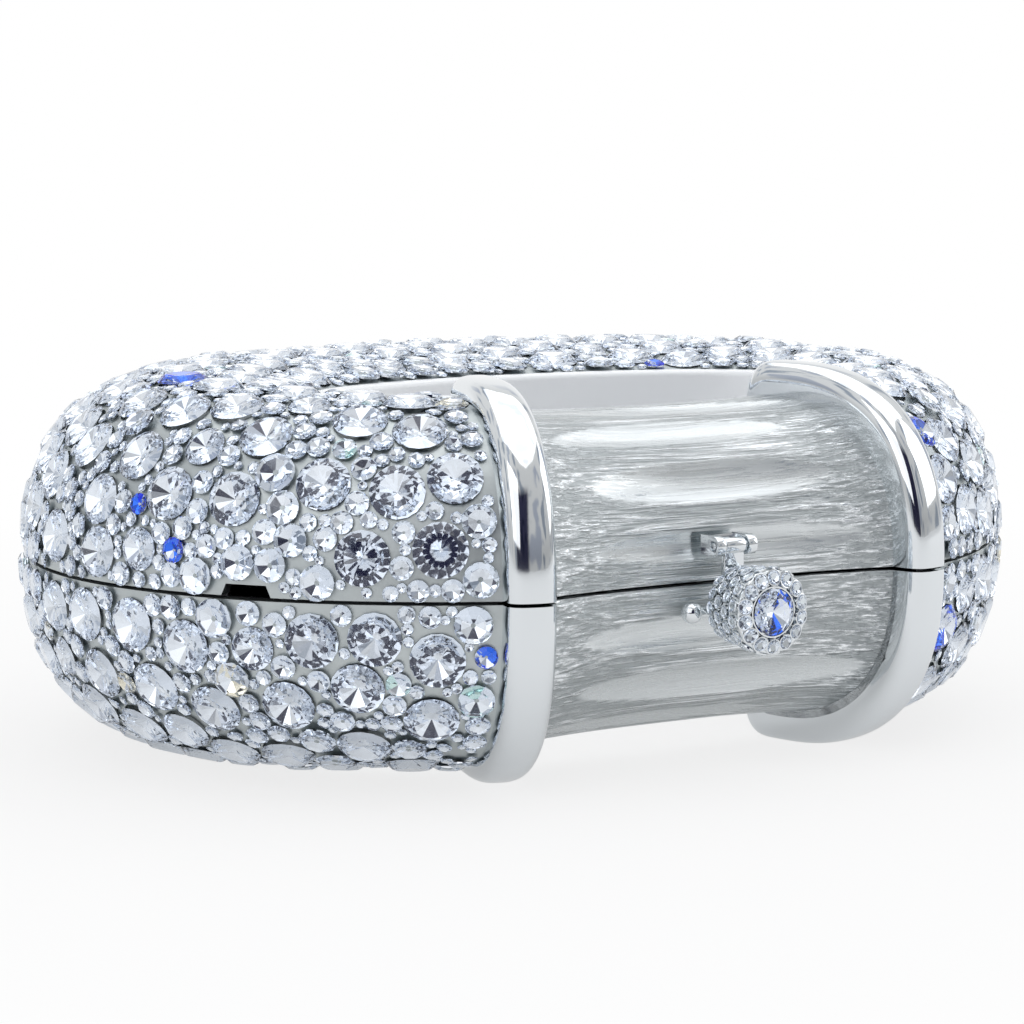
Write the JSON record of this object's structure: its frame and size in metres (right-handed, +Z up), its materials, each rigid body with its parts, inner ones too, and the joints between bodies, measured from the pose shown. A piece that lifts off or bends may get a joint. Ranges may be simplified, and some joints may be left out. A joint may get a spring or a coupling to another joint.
{
  "type": "evening clutch",
  "caption": "Hard oval evening clutch set with crystals, with a hand hole, a bamboo-shaped bar handle between beaded collars, a rear hinge and a drum-shaped flip clasp.",
  "frame": {"origin": "under the middle of the whole closed part, on the surface that it lies on", "axes": "+Z up; the handle and clasp face -Y and the hinge is at +Y; X runs along the handle, with the chain slot at -X"},
  "size_m": [0.1536, 0.134, 0.0561],
  "materials": {
    "cast_silver": "satin plated",
    "brushed_silver": "brushed along the handle",
    "polished_silver": "mirror polished",
    "crystal": "clear, cut and foiled",
    "satin": "grey satin"
  },
  "bodies": {
    "lower_half": {"lower_case": "cast_silver", "lower_crystals": "crystal", "lower_hole_wall": "polished_silver", "lower_lining": "satin", "lower_handle": "brushed_silver", "lower_left_collar": "polished_silver", "lower_right_collar": "polished_silver", "lower_hinge_leaf": "polished_silver", "locating_lip": "cast_silver", "chain_eye": "polished_silver", "hinge_pin": "polished_silver", "catch_bar": "polished_silver", "rest_crystal_1": "crystal", "rest_crystal_2": "crystal", "rest_crystal_3": "crystal", "rest_crystal_4": "crystal", "rest_crystal_5": "crystal"},
    "lid": {"upper_case": "cast_silver", "upper_crystals": "crystal", "upper_hole_wall": "polished_silver", "upper_lining": "satin", "upper_handle": "brushed_silver", "upper_left_collar": "polished_silver", "upper_right_collar": "polished_silver", "upper_hinge_leaf": "polished_silver", "clasp_lugs": "polished_silver", "clasp_pin": "polished_silver"},
    "clasp": {"clasp_arm": "polished_silver", "clasp_drum": "polished_silver", "clasp_centre_stone": "crystal", "clasp_ring_stones": "crystal", "clasp_side_stones": "crystal"}
  },
  "joints": [
    {"name": "lid_hinge", "type": "hinge", "parent": "lower_half", "child": "lid", "pos_m": [0, 0.06525, 0.028], "axis": [-1, 0, 0], "range_deg": [0, 95]},
    {"name": "clasp_pivot", "type": "hinge", "parent": "lid", "child": "clasp", "pos_m": [0, -0.0557, 0.0334], "axis": [-1, 0, 0], "range_deg": [0, 100]}
  ]
}
